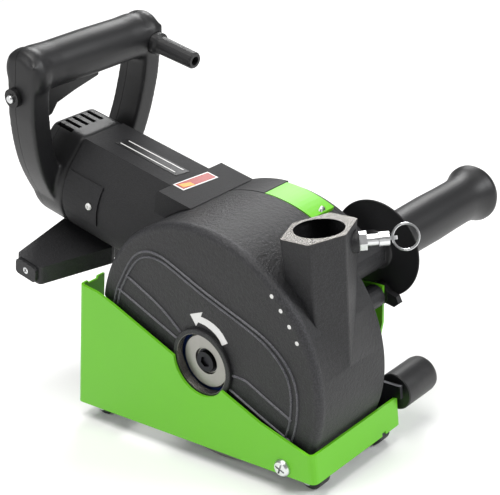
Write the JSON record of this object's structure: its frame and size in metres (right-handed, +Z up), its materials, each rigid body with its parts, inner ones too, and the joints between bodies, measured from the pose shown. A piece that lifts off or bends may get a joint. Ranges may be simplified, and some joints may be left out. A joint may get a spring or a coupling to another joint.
{
  "type": "wall chaser",
  "caption": "Hand-held wall chaser: motor, drum-shaped blade hood with dust port, D-handle and side grip, plunging on a roller sled.",
  "frame": {"origin": "middle of the footprint, on the surface under the rollers", "axes": "+X the cutting direction, towards the dust port; +Y the machine's left hand; +Z up"},
  "size_m": [0.3124, 0.2506, 0.2762],
  "materials": {
    "green_paint": "bright green powder coat, semi-gloss",
    "black_casting": "charcoal textured paint on cast alloy",
    "black_plastic": "matte black glass-filled nylon",
    "black_rubber": "matte black rubber",
    "zinc": "bright zinc plate",
    "steel": "turned and ground steel",
    "blade_blue": "dark blue blade body with bare cutting rim",
    "black_steel": "black oxide",
    "iron": "dark machined iron",
    "copper": "copper segments"
  },
  "bodies": {
    "sled": {"guard_shell": "green_paint", "sole_plate": "zinc", "pivot_screw_near": "zinc", "pivot_screw_far": "zinc", "return_spring": "steel", "front_grip": "black_rubber", "front_grip_mount": "black_steel", "depth_bracket": "green_paint", "roller_axle_front": "steel", "roller_axle_rear": "steel"},
    "head": {"hood": "black_casting", "gear_housing": "black_casting", "gear_cover": "black_casting", "top_cover": "green_paint", "motor_housing": "black_casting", "stator_core": "iron", "brush_cover_near": "black_plastic", "brush_cover_far": "black_plastic", "carbon_brush_near": "iron", "carbon_brush_far": "iron", "handle_front": "black_plastic", "handle_back": "black_plastic", "switch": "black_plastic", "lock_collar": "black_plastic", "cable_boot": "black_rubber", "support_foot": "black_casting", "plunger_body": "zinc", "hand_guard": "black_plastic", "auxiliary_grip": "black_rubber", "spindle_bearing_near": "steel", "spindle_bearing_far": "steel", "rotor_bearing_front": "steel", "rotor_bearing_rear": "steel"},
    "blade_set": {"spindle": "steel", "blade_1": "blade_blue", "blade_2": "blade_blue", "blade_3": "blade_blue", "blade_4": "blade_blue", "blade_spacer_1": "zinc", "blade_spacer_2": "zinc", "blade_spacer_3": "zinc", "inner_flange": "steel", "outer_flange": "steel", "blade_bolt": "black_steel", "spindle_gear": "iron"},
    "lay_set": {"lay_shaft": "steel", "bevel_wheel": "iron", "lay_gear": "iron"},
    "rotor": {"armature": "steel", "commutator": "copper", "fan": "black_plastic"},
    "front_roller_near": {"roller_front_near": "black_rubber"},
    "front_roller_far": {"roller_front_far": "black_rubber"},
    "rear_roller_near": {"roller_rear_near": "black_rubber"},
    "rear_roller_far": {"roller_rear_far": "black_rubber"},
    "switch_trigger": {"trigger": "black_plastic"},
    "switch_lock": {"lock_button": "zinc"},
    "port_plunger": {"plunger_pin": "zinc"},
    "port_plunger_ring": {"plunger_ring": "zinc"},
    "depth_lock": {"depth_lock_knob": "black_plastic"}
  },
  "joints": [
    {"name": "plunge", "type": "hinge", "parent": "sled", "child": "head", "pos_m": [0.09902, -0.0697, 0.01944], "axis": [0, -1, 0], "range_deg": [0, 24], "stiffness_Nm_per_rad": 14, "springref_deg": -57.3},
    {"name": "blade_spin", "type": "hinge", "parent": "head", "child": "blade_set", "pos_m": [0.03292, -0.0697, 0.07604], "axis": [0, 1, 0], "continuous": true},
    {"name": "lay_spin", "type": "hinge", "parent": "head", "child": "lay_set", "pos_m": [0.02623, -0.0697, 0.12459], "axis": [0, 1, 0], "continuous": true},
    {"name": "rotor_spin", "type": "hinge", "parent": "head", "child": "rotor", "pos_m": [0.04493, -0.0507, 0.11941], "axis": [0.9637, 0, -0.2669], "continuous": true},
    {"name": "roller_spin_front_near", "type": "hinge", "parent": "sled", "child": "front_roller_near", "pos_m": [0.11002, -0.0992, 0.00894], "axis": [0, 1, 0], "continuous": true},
    {"name": "roller_spin_front_far", "type": "hinge", "parent": "sled", "child": "front_roller_far", "pos_m": [0.11002, -0.0331, 0.00894], "axis": [0, 1, 0], "continuous": true},
    {"name": "roller_spin_rear_near", "type": "hinge", "parent": "sled", "child": "rear_roller_near", "pos_m": [-0.08498, -0.0992, 0.00894], "axis": [0, 1, 0], "continuous": true},
    {"name": "roller_spin_rear_far", "type": "hinge", "parent": "sled", "child": "rear_roller_far", "pos_m": [-0.08498, -0.0331, 0.00894], "axis": [0, 1, 0], "continuous": true},
    {"name": "trigger_squeeze", "type": "hinge", "parent": "head", "child": "switch_trigger", "pos_m": [-0.11425, -0.0437, 0.2434], "axis": [-0.9637, 0, 0.2669], "range_deg": [0, 7], "stiffness_Nm_per_rad": 0.6, "springref_deg": -17.19},
    {"name": "lock_press", "type": "slide", "parent": "head", "child": "switch_lock", "axis": [0, 1, 0], "range_m": [0, 0.003], "stiffness_N_per_m": 300, "springref_m": -0.003},
    {"name": "plunger_pull", "type": "slide", "parent": "head", "child": "port_plunger", "axis": [0.7431, 0.6691, 0], "range_m": [0, 0.005], "stiffness_N_per_m": 600, "springref_m": -0.005},
    {"name": "ring_swing", "type": "hinge", "parent": "port_plunger", "child": "port_plunger_ring", "pos_m": [0.14281, -0.04208, 0.16044], "axis": [-0.2398, 0.2663, 0.9336], "range_deg": [-45, 45]},
    {"name": "depth_lock_turn", "type": "hinge", "parent": "head", "child": "depth_lock", "pos_m": [0.10181, -0.0097, 0.09939], "axis": [0, 1, 0], "range_deg": [-40, 40]}
  ],
  "couplings": [
    {"joint": "lay_spin", "follows": "blade_spin", "ratio": -0.96},
    {"joint": "rotor_spin", "follows": "blade_spin", "ratio": -2.88}
  ]
}
